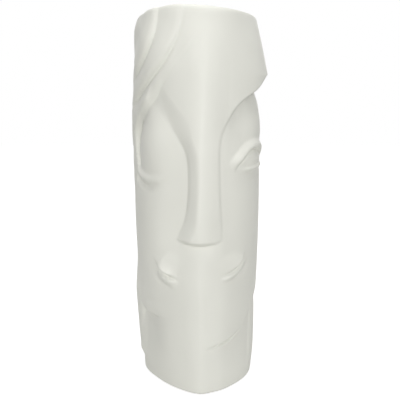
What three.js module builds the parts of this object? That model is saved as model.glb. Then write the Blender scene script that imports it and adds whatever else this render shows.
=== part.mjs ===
import * as THREE from 'three';

// A tall cast vase with a stylised face in relief, in millimetres with +Z up.
// The face looks towards -Y. A bearing is an angle round the vase in degrees: 0 is straight
// ahead of the face, and bearings grow towards the viewer's right.

// Overall form
const HEIGHT = 301;
const SIDE_RADIUS = 47.5;
const BELLY = 5.4;
const PROW = 8;
const PROW_BEARING = 9;
const PROW_LEFT_SPREAD = 26;
const PROW_RIGHT_SPREAD = 30;
const CHEEK_FLAT = 2.3;
const CHEEK_FLAT_BEARING = -52;
const CHEEK_FLAT_SPREAD = 25;
const FLARE_HEIGHT = 30;
const FLARE_LEFT = 1.2;
const FLARE_LEFT_BEARING = -78;
const FLARE_LEFT_SPREAD = 25;
const FLARE_RIGHT = 1.5;
const FLARE_RIGHT_BEARING = 52;
const FLARE_RIGHT_SPREAD = 28;

// Ceramic shell
const WALL = 7;
const FLOOR = 9;
const LIP_RADIUS = 2.5;
const FOOT_WIDTH = 8;
const FOOT_BEVEL = 1.2;
const FLOOR_FILLET = 8;

// Glaze film inside, and felt pads in the recess under the floor
const CLEARANCE = 0.3;
const GLAZE = 0.7;
const GLAZE_DROP = 4;
const PAD_RADIUS = 9;
const PAD_THICKNESS = 3;
const PAD_PROUD = 0.8;
const PAD_BEVEL = 0.4;
const PAD_INSET = 2;
const PAD_BEARINGS = [-135, -45, 45, 135];

// The face is drawn for a wall of this height, and is stretched to the wall that carries it
const DRAWN_HEIGHT = 300;

// Hair pushes the rim out and up
const HAIR_SWELL = 6;
const HAIR_SWELL_BEARING = -38;
const HAIR_SWELL_SPREAD = 32;
const HAIR_LIFT = 1.7;
const HAIR_LIFT_BEARING = -14;
const HAIR_LIFT_SPREAD = 30;
const HAIR_HEIGHTS = [240, DRAWN_HEIGHT];

// Rolls of hair round the back: arcs about a point low on the left side, each with a slow rise
// and a quick fall
const ROLL_HEIGHT = 1.5;
const ROLL_PITCH = 18;
const ROLL_CREST = 158;
const ROLL_BEARING = 275;
const ROLL_Z = 80;
const ROLL_SLOW_SHARE = 0.76;

// Forehead, brow and nose stand out from the wall as one plate
const PLATE_SIDE = 2;
const PLATE_FRONT = 1.3;
const PLATE_TEMPLE = 0.6;
const PLATE_BROW = 4.8;
const NOSE_RISE = 0.6;
const NOSE_TUCK = 1.4;
const CHEEK_SINK = 1.4;
const CHEEK_REACH = 30;
const SOCKET = 1.4;
const SOCKET_OUTER = 2.2;
const SOCKET_REACH = 24;
const CREST = 1.7;
const CREST_LEFT = 13;
const CREST_RIGHT = 10;
const KEEL = 0.8;
const KEEL_LEFT = 13;
const KEEL_RIGHT = 9;

// Width of the plate's edge at the hairline, temple, nose, bridge, nose wing, right side, brow
// and under the nose
const HAIR_CHAMFER = 5;
const TEMPLE_CHAMFER = 10;
const NOSE_CHAMFER = 8;
const BRIDGE_CHAMFER = 12;
const WING_CHAMFER = 12.5;
const RIGHT_CHAMFER = 4;
const BROW_CHAMFER = 8.5;
const BASE_CHAMFER = 4;
const BASE_END_CHAMFER = 6;

// Neck
const NECK_RIGHT = 2.6;
const NECK_RIGHT_REACH = 55;
const NECK_RIGHT_EDGE = 5;
const NECK_RIGHT_STRIP = 1.1;
const NECK_LEFT = 4.2;
const NECK_LEFT_EDGE = 4;
const NECK_LEFT_SOFT_EDGE = 23;
const NECK_LEFT_SLOPE = 17;
const NECK_LEFT_HAIR = 3;

// Lines drawn on the unrolled wall, as [bearing, height] points
const HAIRLINE = [
  [-160, 60], [-130, 80], [-110, 105], [-96, 130], [-87, 155], [-81.5, 172], [-79, 186],
  [-78, 196], [-76, 208], [-71, 217], [-62.5, 223.5], [-51, 229], [-38.5, 233.5],
];
const NOSE_LEFT = [
  [-38.5, 233.5], [-34.5, 229.5], [-29.5, 224.3], [-24, 217.8], [-18.5, 211], [-13.5, 204],
  [-9.7, 197.5], [-7.8, 190], [-7.1, 180], [-7.2, 168], [-8.3, 155], [-10.3, 144.5],
  [-13.7, 136.5], [-17.5, 129.5],
];
const NOSE_BASE = [
  [-17.5, 129.5], [-14.5, 127], [-8, 125.3], [0, 124.7], [8, 125], [14, 126.3], [19.2, 128.8],
];
const NOSE_RIGHT = [
  [19.2, 128.8], [19, 138], [18.3, 150], [17.4, 165], [17, 180], [17, 196], [18, 206],
  [20.8, 213.5], [25.3, 221], [31.3, 228], [39.4, 233.8], [48, 238], [57, 241.8], [66, 244.8],
  [78, 246.8], [100, 247.5], [130, 248.5], [165, 250],
];
const BELOW_LEFT = [-24, -50];
const BELOW_RIGHT = [27, -50];
const CREST_LINE = [
  [5.5, 299], [5, 270], [4, 240], [2.5, 210], [1.2, 180], [0.8, 150], [0.8, 126],
];
const KEEL_LINE = [[1.5, 122], [3, 80], [4, 40], [4.5, -10]];
const LOCK_A = [
  [-37, 306], [-38.5, 292], [-43, 282], [-51, 272.5], [-61, 265.5], [-75, 259.5],
  [-92, 256], [-130, 256],
];
const LOCK_B = [
  [-17, 306], [-19, 292], [-22.5, 281], [-28.5, 270.5], [-36.5, 261.5], [-47, 252.5],
  [-59, 246.5], [-73, 241], [-92, 238], [-130, 238],
];
const LOCK_C = [
  [4, 288], [-5.5, 277.3], [-11, 269.5], [-20, 259.5], [-30, 250], [-40, 241.3], [-50, 233.7],
  [-58, 227], [-65.5, 221.5], [-73, 213], [-78, 203], [-81, 190], [-84, 174],
];
const CLOSED_LID = [
  [-44, 230], [-53, 226.5], [-62, 221.5], [-69, 215.5], [-73, 209.5], [-75, 203], [-75, 195],
  [-71.5, 189], [-66.5, 184], [-60, 179.5], [-52, 177],
];
const CLOSED_LOWER_LID = [
  [-74, 192], [-69.5, 183.5], [-61.5, 177.5], [-51, 174.6], [-40, 174], [-22, 177],
];
const CLOSED_POUCH = [[-72, 179], [-64, 172.4], [-54, 168.8], [-43, 168.6], [-28, 172]];
const OPEN_LID = [
  [28.5, 180.3], [37.5, 188.2], [44.5, 193.8], [51.5, 196.8], [59, 196.8], [67, 193.8], [76, 188.3],
  [90, 181],
];
const OPEN_LOWER_LID = [
  [34, 181.5], [41, 182.6], [50, 182.6], [60, 183.6], [70, 186], [85, 190],
];
const OPEN_POUCH = [[38, 179.5], [50, 177.8], [60, 178.6], [72, 181.5], [85, 185]];
const MOUTH_LEFT = [
  [-43.5, 112], [-41, 107], [-36, 103.2], [-30, 100.4], [-22.5, 98], [-14, 95.8],
];
const MOUTH_RIGHT = [[17, 99.3], [23.5, 100.8], [30, 102.8], [36, 105.4], [41, 110], [45, 117.5]];
const JAW_RIGHT = [
  [4, 40.8], [16, 42.7], [26, 44.7], [36, 47.5], [46, 52], [54, 58], [62, 65.5], [70, 72],
  [82, 79], [100, 88],
];
const NAPE_RIGHT = [[66, 80], [64, 62], [63, 42], [61, 20], [59, -10]];
const JAW_LEFT = [
  [-12, 68], [-22, 65], [-32, 63], [-42, 62], [-53, 62.2], [-63, 64], [-71, 67],
];
const JAW_LEFT_END = [[-71, 67], [-88, 76], [-120, 90]];
const NAPE_LEFT = [
  [-66, 95], [-69, 78], [-71, 62], [-71.5, 48], [-72.5, 34], [-74.5, 25], [-79, 18], [-88, 13],
  [-110, 10], [-150, 8],
];

// Grid of the outer wall, closer where the relief is finer: bands of columns as
// [from bearing, to bearing, columns], and bands of rows as [from height, to height, rows]
const COLUMN_BANDS = [
  [-100, -75, 4], [-75, -40, 9], [-40, -20, 5], [-20, 24, 14], [24, 72, 14], [72, 100, 6],
  [100, 260, 32],
];
const ROW_BANDS = [
  [8, 90, 11], [90, 118, 8], [118, 123, 1], [123, 133, 5], [133, 176, 6], [176, 206, 10],
  [206, 226, 3], [226, 262, 9], [262, 296, 6],
];
const INNER_ROWS = 6;
const ARC_STEPS = 2;
const PAD_SIDES = 16;
const LINE_STEPS = 5;

const MM_PER_DEGREE = THREE.MathUtils.degToRad(SIDE_RADIUS + BELLY);
const FOOT_Z = PAD_PROUD;
const RECESS_Z = PAD_THICKNESS + CLEARANCE;
const FLOOR_Z = RECESS_Z + FLOOR;
const LIP = Math.min(LIP_RADIUS, 0.45 * WALL);
const LIP_Z = HEIGHT - LIP;
const GLAZE_Z = LIP_Z - GLAZE_DROP;

// Shape functions. Profiles run from 1 at x = 0 to 0 at x = 1 and beyond.
const unit = (x) => Math.min(Math.max(x, 0), 1);
const ease = (x) => unit(x) ** 2 * (3 - 2 * unit(x));
const ramp = (x) => 0.6 * unit(x) + 0.4 * ease(x);
const mix = (a, b, share) => a + (b - a) * share;
const inside = (x) => Math.min(Math.abs(x), 1);
const soft = (x) => (1 - inside(x) ** 2) ** 2;
const round = (x) => 1 - inside(x) ** 2;
const firm = (x) => 0.6 * soft(x) + 0.4 * round(x);
const scoop = (x) => (1 - inside(x)) ** 2;
const tent = (x) => 1 - Math.hypot(inside(x), 0.12);
const lock = (x) => (x > 0 ? round(x) : soft(x));
const gouge = (x) => (x > 0 ? scoop(x) : soft(x));
const swell = (value, centre, spread) => Math.exp(-(((value - centre) / spread) ** 2));

// Eases from 0 to 1 as a bearing or a height goes through a span
const over = (value, [from, to]) => ease((value - from) / (to - from));

// A smooth line on the unrolled wall. Runs that follow each other meet in a corner.
class WallLine {
  constructor(...runs) {
    this.points = runs.flatMap((run, i) => WallLine.smooth(run).slice(i > 0 ? 1 : 0));
    this.steps = this.points.slice(1).map((p, i) => p.clone().sub(this.points[i]));
    this.sides = this.steps.map((s) => new THREE.Vector2(-s.y, s.x).normalize());
    this.starts = [0];
    this.steps.forEach((s, i) => this.starts.push(this.starts[i] + s.length()));
  }

  static smooth(run) {
    const points = run.map(([b, z]) => new THREE.Vector2(b * MM_PER_DEGREE, z));
    return new THREE.SplineCurve(points).getPoints(LINE_STEPS * (run.length - 1));
  }

  // Which way is left of the line's travel, at a corner or along a step
  leftOf(i, t) {
    const side = this.sides[i];
    if (t <= 0 && i > 0) return side.clone().add(this.sides[i - 1]);
    if (t >= 1 && i < this.sides.length - 1) return side.clone().add(this.sides[i + 1]);
    return side;
  }

  // Distance from the line, positive on the left of its travel, and the share of its length
  locate(bearing, z) {
    const here = new THREE.Vector2(bearing * MM_PER_DEGREE, z);
    const nearest = { gap: Infinity };
    this.steps.forEach((step, i) => {
      const from = here.clone().sub(this.points[i]);
      const t = unit(from.dot(step) / step.lengthSq());
      from.addScaledVector(step, -t);
      if (from.lengthSq() < nearest.gap) {
        Object.assign(nearest, { gap: from.lengthSq(), i, t, from });
      }
    });
    const { gap, i, t, from } = nearest;
    const side = from.dot(this.leftOf(i, t)) < 0 ? -1 : 1;
    const along = mix(this.starts[i], this.starts[i + 1], t) / this.starts.at(-1);
    return { off: side * Math.sqrt(gap), along };
  }
}

// Rolls and grooves that follow a line. The crest lies `at` to the left of the line and falls
// to nothing over `left` and `right`. It fades in over `grow` and out over `die` of the length.
const RIDGES = [
  { line: LOCK_A, height: 2.5, left: 4.6, right: 20, shape: lock, to: 0.7, die: 0.25 },
  { line: LOCK_B, height: 1.6, left: 6, right: 17, shape: lock, to: 0.76, die: 0.3 },
  { line: LOCK_B, height: 1.2, left: 4.6, right: 17, shape: lock, grow: 0.35, to: 0.78, die: 0.28 },
  { line: LOCK_C, height: 0.7, left: 3.8, right: 12, shape: lock, grow: 0.12, to: 0.9, die: 0.3 },
  {
    line: LOCK_C, height: 2.2, left: 3.8, right: 12, shape: lock,
    from: 0.2, grow: 0.3, to: 0.86, die: 0.22,
  },
  { line: CLOSED_LID, height: -3, left: 6, right: 3.6, shape: gouge, grow: 0.25, die: 0.4 },
  { line: CLOSED_LOWER_LID, height: 1.8, left: 4.8, right: 3.6, from: 0.1, grow: 0.25, die: 0.5 },
  { line: CLOSED_POUCH, height: -2.2, left: 3, right: 5.5, grow: 0.15, die: 0.55 },
  { line: OPEN_LID, at: 3, height: 3.4, left: 6, right: 3, shape: firm, grow: 0.18, to: 0.84, die: 0.28 },
  { line: OPEN_LOWER_LID, height: 2.8, left: 2.3, right: 3.4, grow: 0.25, to: 0.78, die: 0.25 },
  { line: OPEN_POUCH, height: -0.9, left: 3, right: 5, grow: 0.4, die: 0.1 },
  { line: MOUTH_LEFT, at: 3, height: 1.3, left: 9, right: 3, shape: firm, grow: 0.25, die: 0.45 },
  { line: MOUTH_LEFT, at: -3.1, height: 2.6, left: 3, right: 4, from: 0.32, grow: 0.12, die: 0.25 },
  { line: MOUTH_LEFT, height: -1.8, left: 1.5, right: 5, grow: 0.25, to: 0.9, die: 0.5 },
  { line: MOUTH_RIGHT, at: 3, height: 1.1, left: 9, right: 3, shape: firm, grow: 0.4, die: 0.3 },
  { line: MOUTH_RIGHT, at: -2.8, height: 1.7, left: 2.6, right: 3.4, grow: 0.25, to: 0.86, die: 0.3 },
  { line: MOUTH_RIGHT, height: -1.5, left: 1.5, right: 5, grow: 0.1, die: 0.3 },
  { line: JAW_LEFT, at: -4.5, height: 0.6, left: 4.5, right: 8, grow: 0.6, die: 0.2 },
].map((ridge) => ({ ...ridge, line: new WallLine(ridge.line) }));

// Oval swellings: the closed lid, the open eye, the halves of the upper lip, the place under the
// brow and the two cheeks
const OVALS = [
  { bearing: -45, z: 203, across: 22, tall: 28, height: 3.8, turn: 0 },
  { bearing: 57, z: 190, across: 20, tall: 8, height: 2.5, turn: 0 },
  { bearing: -25, z: 105.5, across: 16, tall: 10.5, height: 3.2, turn: 0 },
  { bearing: 28, z: 110, across: 14, tall: 10, height: 2.8, turn: 20 },
  { bearing: 53, z: 206, across: 28, tall: 34, height: 3, turn: 0 },
  { bearing: 50, z: 160, across: 28, tall: 80, height: 1.5, turn: 0 },
  { bearing: -51, z: 145, across: 30, tall: 105, height: 2.2, turn: 0 },
];

const LEFT_EDGE = new WallLine(HAIRLINE, NOSE_LEFT, [NOSE_LEFT.at(-1), BELOW_LEFT]);
const BASE_EDGE = new WallLine([BELOW_LEFT, NOSE_BASE[0]], NOSE_BASE, [NOSE_BASE.at(-1), BELOW_RIGHT]);
const RIGHT_EDGE = new WallLine([BELOW_RIGHT, NOSE_RIGHT[0]], NOSE_RIGHT);
const CREST_EDGE = new WallLine(CREST_LINE);
const KEEL_EDGE = new WallLine(KEEL_LINE);
const JAW_RIGHT_EDGE = new WallLine(JAW_RIGHT);
const NAPE_RIGHT_EDGE = new WallLine(NAPE_RIGHT);
const JAW_LEFT_EDGE = new WallLine(JAW_LEFT, JAW_LEFT_END);
const NAPE_LEFT_EDGE = new WallLine(NAPE_LEFT);

function ridgeRelief({ line, at = 0, height, left, right, shape = soft, from = 0, grow, to = 1, die }, b, z) {
  const { off, along } = line.locate(b, z);
  const x = off - at;
  const start = grow ? ease((along - from) / grow) : 1;
  const end = die ? ease((to - along) / die) : 1;
  return height * shape(x / (x > 0 ? left : right)) * start * end;
}

function ovalRelief({ bearing, z: centreZ, across, tall, height, turn }, b, z) {
  const from = new THREE.Vector2((b - bearing) * MM_PER_DEGREE, z - centreZ);
  from.rotateAround(new THREE.Vector2(), -THREE.MathUtils.degToRad(turn));
  return height * soft(Math.hypot(from.x / across, from.y / tall));
}

// Spans of the plate, as [nothing, whole] bearings or heights
const FRONT_BEARINGS = [-38, -14];
const TEMPLE_BEARINGS = [-60, -80];
const BROW_BEARINGS = [15, 70];
const BROW_OUTER_BEARINGS = [50, 76];
const BROW_HEIGHTS = [215, 230];
const NOSE_BEARINGS = [-30, -10];
const NOSE_RISE_HEIGHTS = [215, 150];
const NOSE_TUCK_HEIGHTS = [150, 124];
const NOSE_TOP_HEIGHTS = [232, 212];
const NOSE_END_BEARINGS = [5, 13];
const BRIDGE_HEIGHTS = [200, 222];
const WING_HEIGHTS = [160, 130];
const HAIR_TO_TEMPLE_BEARINGS = [-46, -68];
const HAIR_TO_NOSE_BEARINGS = [-44, -35];
const SIDE_HAIR_BEARINGS = [-42, -54];
const SIDE_HAIR_HEIGHTS = [140, 215];
const SIDE_HAIR_LEAST = 0.15;
const CHEEK_HEIGHTS = [108, 138];
const CHEEK_LEFT_BEARINGS = [-44, -18];
const CHEEK_RIGHT_BEARINGS = [14, 8];
const SOCKET_BEARINGS = [22, 34];
const SOCKET_OUTER_BEARINGS = [56, 78];
const SOCKET_HEIGHTS = [196, 216];
const RIM_LEFT_TOP = 303;
const RIM_LEFT_HEIGHTS = [289, 253];
const RIM_LEFT_BEARINGS = [-70, -10];
const RIM_RIGHT_HEIGHTS = [302, 242];
const RIM_BROW_HEIGHTS = [302, 254];
const RIM_BROW_BEARINGS = [25, 70];
const RIM_MIDDLE_BEARINGS = [-20, 20];
const BACK_BEARINGS = [165, 115];

// How much of the plate is left towards the rim, where it sinks back into the wall
function plateAtRim(b, z) {
  const whole = mix(...RIM_LEFT_HEIGHTS, over(b, RIM_LEFT_BEARINGS));
  const left = over(z, [RIM_LEFT_TOP, whole]);
  const [top, foot] = RIM_BROW_HEIGHTS;
  const brow = unit((top - z) / (top - foot));
  const right = mix(over(z, RIM_RIGHT_HEIGHTS), brow, over(b, RIM_BROW_BEARINGS));
  return mix(left, right, over(b, RIM_MIDDLE_BEARINGS));
}

// How far the plate stands out inside its edge
function plateLevel(b, z) {
  const hair = mix(SIDE_HAIR_LEAST, 1, over(z, SIDE_HAIR_HEIGHTS));
  const thinning = mix(1, hair, over(b, SIDE_HAIR_BEARINGS));
  const front = PLATE_FRONT * over(b, FRONT_BEARINGS);
  const temple = PLATE_TEMPLE * over(b, TEMPLE_BEARINGS);
  const level = (PLATE_SIDE + front + temple + PLATE_BROW * over(b, BROW_BEARINGS)) * thinning;
  const nose = NOSE_RISE * over(z, NOSE_RISE_HEIGHTS) - NOSE_TUCK * over(z, NOSE_TUCK_HEIGHTS);
  return level + nose * over(b, NOSE_BEARINGS) * over(z, NOSE_TOP_HEIGHTS);
}

// Share of the plate's height at a place, from its distances inside the three edges
function plateEdge(left, right, base, b, z) {
  const hair = mix(HAIR_CHAMFER, TEMPLE_CHAMFER, over(b, HAIR_TO_TEMPLE_BEARINGS));
  const bridge = mix(NOSE_CHAMFER, BRIDGE_CHAMFER, over(z, BRIDGE_HEIGHTS));
  const nose = mix(bridge, WING_CHAMFER, over(z, WING_HEIGHTS));
  const leftWidth = mix(hair, nose, over(b, HAIR_TO_NOSE_BEARINGS));
  const brow = over(b, BROW_OUTER_BEARINGS) * over(z, BROW_HEIGHTS);
  const rightWidth = mix(RIGHT_CHAMFER, BROW_CHAMFER, brow);
  const baseWidth = mix(BASE_CHAMFER, BASE_END_CHAMFER, over(Math.abs(b), NOSE_END_BEARINGS));
  return Math.min(ramp(left / leftWidth), unit(right / rightWidth), ramp(base / baseWidth));
}

// A soft crest down the forehead and nose, and a keel below them
function crestRelief(depth, b, z) {
  const crest = CREST_EDGE.locate(b, z);
  const shape = tent(crest.off / (crest.off > 0 ? CREST_LEFT : CREST_RIGHT)) * ease(crest.along / 0.4);
  const keel = KEEL_EDGE.locate(b, z);
  const below = tent(keel.off / (keel.off > 0 ? KEEL_RIGHT : KEEL_LEFT)) * ease(keel.along / 0.2);
  return CREST * shape * ease(depth / 2) + KEEL * below;
}

// The plate of forehead, brow and nose: a wide chamfer on the left of the nose, a steep step on
// its right, a brow that flares out over its socket, and hair that thins out down the left side
function plateRelief(b, z) {
  const left = LEFT_EDGE.locate(b, z).off;
  const right = RIGHT_EDGE.locate(b, z).off;
  const base = BASE_EDGE.locate(b, z).off;
  const edge = plateEdge(left, right, base, b, z);
  const besideNose = over(b, CHEEK_LEFT_BEARINGS) * over(b, CHEEK_RIGHT_BEARINGS);
  const sink = CHEEK_SINK * over(z, CHEEK_HEIGHTS) * besideNose;
  const cheek = sink * (1 - ramp(Math.max(-Math.min(left, right), 0) / CHEEK_REACH));
  const under = scoop(Math.max(-right, 0) / SOCKET_REACH) * (1 - edge);
  const hollow = SOCKET * over(b, SOCKET_BEARINGS) + SOCKET_OUTER * over(b, SOCKET_OUTER_BEARINGS);
  const socket = hollow * under * over(z, SOCKET_HEIGHTS);
  const step = (plateLevel(b, z) * plateAtRim(b, z) + sink) * edge - cheek - socket;
  return (step + crestRelief(Math.min(left, right, base), b, z)) * over(Math.abs(b), BACK_BEARINGS);
}

// Spans of the neck and of the back hair
const STRIP_EDGE = [-3, 5];
const STRIP_BEARINGS = [110, 90];
const STRIP_TOP_HEIGHTS = [74, 59];
const STRIP_FOOT_HEIGHTS = [0, 24];
const RIGHT_BACK_BEARINGS = [130, 100];
const NECK_LEFT_BEARINGS = [-32, -70];
const NECK_LEFT_HEIGHTS = [2, 40];
const NECK_SOFT_BEARINGS = [-64, -74];
const LOBE_BEARINGS = [-66, -86];
const LOBE_TOP_HEIGHTS = [110, 62];
const LOBE_FOOT_HEIGHTS = [6, 22];
const LEFT_BACK_BEARINGS = [-150, -110];
const ROLL_LEFT_BEARINGS = [274, 250];
const ROLL_RIGHT_BEARINGS = [104, 130];
const ROLL_TOP_HEIGHTS = [298, 276];
const ROLL_FOOT_HEIGHTS = [4, 26];

// Recess under the jaw on the right, with a strip of hair behind it
function rightNeckRelief(b, z) {
  const jaw = JAW_RIGHT_EDGE.locate(b, z);
  const below = Math.max(-jaw.off, 0);
  const depth = ramp(below / NECK_RIGHT_EDGE) * (1 - ease(below / NECK_RIGHT_REACH));
  const recess = depth * over(jaw.along, [0, 0.3]) * over(b, RIGHT_BACK_BEARINGS);
  const beside = over(NAPE_RIGHT_EDGE.locate(b, z).off, STRIP_EDGE) * over(b, STRIP_BEARINGS);
  const strip = beside * over(z, STRIP_TOP_HEIGHTS) * over(z, STRIP_FOOT_HEIGHTS);
  return NECK_RIGHT_STRIP * strip - NECK_RIGHT * recess;
}

// Recess under the jaw on the left, with a lobe of hair behind it that ends above the foot
function leftNeckRelief(b, z) {
  const jaw = JAW_LEFT_EDGE.locate(b, z).off;
  const nape = NAPE_LEFT_EDGE.locate(b, z).off;
  const edge = mix(NECK_LEFT_EDGE, NECK_LEFT_SOFT_EDGE, over(b, NECK_SOFT_BEARINGS));
  const floor = over(b, NECK_LEFT_BEARINGS) * mix(0.25, 1, over(z, NECK_LEFT_HEIGHTS));
  const recess = ramp(jaw / edge) * over(nape, [-NECK_LEFT_SLOPE, 1]) * floor;
  const lobe = over(b, LOBE_BEARINGS) * over(z, LOBE_TOP_HEIGHTS) * over(z, LOBE_FOOT_HEIGHTS);
  return (NECK_LEFT_HAIR * lobe - NECK_LEFT * recess) * over(b, LEFT_BACK_BEARINGS);
}

// Rolls of hair that leave the face on the left, sweep round the back and fall to the foot
function backRelief(b, z) {
  const behind = b < 0 ? b + 360 : b;
  const across = Math.max((ROLL_BEARING - behind) * MM_PER_DEGREE, 0);
  const reach = Math.hypot(across, Math.max(z - ROLL_Z, 0));
  const phase = THREE.MathUtils.euclideanModulo((reach - ROLL_CREST) / ROLL_PITCH, 1);
  const slow = soft(phase / ROLL_SLOW_SHARE);
  const quick = round((1 - phase) / (1 - ROLL_SLOW_SHARE));
  const roll = phase < ROLL_SLOW_SHARE ? slow : quick;
  const back = over(behind, ROLL_LEFT_BEARINGS) * over(behind, ROLL_RIGHT_BEARINGS);
  return ROLL_HEIGHT * roll * back * over(z, ROLL_TOP_HEIGHTS) * over(z, ROLL_FOOT_HEIGHTS);
}

function relief(b, z) {
  const ridges = RIDGES.reduce((sum, ridge) => sum + ridgeRelief(ridge, b, z), 0);
  const ovals = OVALS.reduce((sum, oval) => sum + ovalRelief(oval, b, z), 0);
  const necks = rightNeckRelief(b, z) + leftNeckRelief(b, z);
  return ridges + ovals + necks + plateRelief(b, z) + backRelief(b, z);
}

// Plan radius of the plain section, without its belly
function planRadius(b) {
  const spread = b < PROW_BEARING ? PROW_LEFT_SPREAD : PROW_RIGHT_SPREAD;
  const prow = PROW * swell(b, PROW_BEARING, spread);
  return SIDE_RADIUS + prow - CHEEK_FLAT * swell(b, CHEEK_FLAT_BEARING, CHEEK_FLAT_SPREAD);
}

const drawnZ = (z) => (z * DRAWN_HEIGHT) / HEIGHT;
const hairShare = (z) => over(drawnZ(z), HAIR_HEIGHTS);

// Belly, hair swelling and flare at the foot, which the inside follows too
function fullness(b, z) {
  const belly = (BELLY * 4 * z * (HEIGHT - z)) / HEIGHT ** 2;
  const hair = HAIR_SWELL * swell(b, HAIR_SWELL_BEARING, HAIR_SWELL_SPREAD) * hairShare(z);
  const leftFlare = FLARE_LEFT * swell(b, FLARE_LEFT_BEARING, FLARE_LEFT_SPREAD);
  const rightFlare = FLARE_RIGHT * swell(b, FLARE_RIGHT_BEARING, FLARE_RIGHT_SPREAD);
  return belly + hair + (leftFlare + rightFlare) * over(z, [FLARE_HEIGHT, 0]);
}

const smoothRadius = (b, z) => planRadius(b) + fullness(b, z);
const outerRadius = (b, z) => smoothRadius(b, z) + relief(b, drawnZ(z));
const innerRadius = (b, z) => smoothRadius(b, z) - WALL;
const recessRadius = (b) => planRadius(b) - FOOT_WIDTH;
const rimLift = (b, z) => HAIR_LIFT * soft((b - HAIR_LIFT_BEARING) / HAIR_LIFT_SPREAD) * hairShare(z);

const steps = (from, to, count) => Array.from({ length: count }, (_, i) => mix(from, to, i / count));
const spaced = (from, to, count) => [...steps(from, to, count - 1), to];
const bands = (list) => list.flatMap((band) => steps(...band));

const BEARINGS = bands(COLUMN_BANDS).map((b) => (b > 180 ? b - 360 : b));

// A ring of points round the vase, from a function that gives [radius, height] at a bearing
const ring = (place) => BEARINGS.map((b) => [b, ...place(b)]);

const wallZ = (drawn) => (drawn * HEIGHT) / DRAWN_HEIGHT;
const wallHeights = [FOOT_Z + FOOT_BEVEL, ...bands(ROW_BANDS).map(wallZ), LIP_Z];
const innerHeights = spaced(GLAZE_Z, FLOOR_Z + FLOOR_FILLET, INNER_ROWS);

// Quarter arcs, as unit [out, up] pairs
const quarter = spaced(0, Math.PI / 2, ARC_STEPS + 1).map((a) => [Math.cos(a), Math.sin(a)]);

// The inside of the vase below the glaze edge, moved inwards by `inset`
function insideRings(inset) {
  const wall = innerHeights.map((z) => ring((b) => [innerRadius(b, z) - inset, z + rimLift(b, z)]));
  const filletZ = FLOOR_Z + FLOOR_FILLET;
  const radius = FLOOR_FILLET - inset;
  const fillet = quarter.slice(1).map(([out, up]) =>
    ring((b) => [innerRadius(b, filletZ) - FLOOR_FILLET + radius * out, filletZ - radius * up]),
  );
  return [...wall, ...fillet];
}

function lipRings() {
  const outer = quarter.slice(1).map(([out, up]) =>
    ring((b) => [outerRadius(b, LIP_Z) - LIP + LIP * out, LIP_Z + LIP * up + rimLift(b, HEIGHT)]),
  );
  const inner = quarter.toReversed().map(([out, up]) =>
    ring((b) => [innerRadius(b, LIP_Z) + LIP - LIP * out, LIP_Z + LIP * up + rimLift(b, HEIGHT)]),
  );
  return [...outer, ...inner];
}

function footRings() {
  return [
    ring((b) => [recessRadius(b), RECESS_Z]),
    ring((b) => [recessRadius(b), FOOT_Z]),
    ring((b) => [outerRadius(b, FOOT_Z) - FOOT_BEVEL, FOOT_Z]),
  ];
}

// Which diagonal of a wall panel lies nearer to the modelled surface
function splitsUp(a, b, c, d) {
  const middle = outerRadius((a[0] + b[0]) / 2, (a[2] + d[2]) / 2);
  return Math.abs((a[1] + c[1]) / 2 - middle) <= Math.abs((b[1] + d[1]) / 2 - middle);
}

// One closed body from rings in order, with each end closed by a fan to the axis. `splits` says
// whether the panel after ring i is cut from its first corner to its third, or across that.
function ringBody(rings, startZ, endZ, splits) {
  const count = BEARINGS.length;
  const points = rings.flat().map(([b, radius, z]) => {
    const angle = THREE.MathUtils.degToRad(b);
    return [radius * Math.sin(angle), -radius * Math.cos(angle), z];
  });
  const start = points.push([0, 0, startZ]) - 1;
  const end = points.push([0, 0, endZ]) - 1;
  const faces = [];
  const last = (rings.length - 1) * count;
  for (let j = 0; j < count; j += 1) {
    const k = (j + 1) % count;
    faces.push([start, k, j], [last + j, last + k, end]);
    for (let i = 0; i < rings.length - 1; i += 1) {
      const [a, b, c, d] = [i * count + j, i * count + k, (i + 1) * count + k, (i + 1) * count + j];
      const up = splits(i, rings[i][j], rings[i][k], rings[i + 1][k], rings[i + 1][j]);
      faces.push(...(up ? [[a, b, c], [a, c, d]] : [[a, b, d], [b, c, d]]));
    }
  }
  const geometry = new THREE.BufferGeometry();
  geometry.setAttribute('position', new THREE.Float32BufferAttribute(points.flat(), 3));
  geometry.setIndex(faces.flat());
  geometry.computeVertexNormals();
  return geometry;
}

function named(name, geometry, material) {
  const mesh = new THREE.Mesh(geometry, material);
  mesh.name = name;
  return mesh;
}

function ceramicBody() {
  const foot = footRings();
  const wall = wallHeights.map((z) => ring((b) => [outerRadius(b, z), z + rimLift(b, z)]));
  const rings = [...foot, ...wall, ...lipRings(), ...insideRings(0)];
  const carved = (i) => i >= foot.length && i < foot.length + wall.length - 1;
  const splits = (i, ...corners) => !carved(i) || splitsUp(...corners);
  const matt = new THREE.MeshStandardMaterial({ color: 0xe9e8e3, roughness: 0.6, metalness: 0 });
  return named('ceramic_body', ringBody(rings, RECESS_Z, FLOOR_Z, splits), matt);
}

function glazeLining() {
  const outside = insideRings(CLEARANCE).toReversed();
  const rings = [...outside, ...insideRings(CLEARANCE + GLAZE)];
  const splits = (i) => i >= outside.length;
  const gloss = new THREE.MeshStandardMaterial({ color: 0xf2f1ec, roughness: 0.12, metalness: 0 });
  const below = FLOOR_Z + CLEARANCE;
  return named('glaze_lining', ringBody(rings, below, below + GLAZE, splits), gloss);
}

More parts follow.
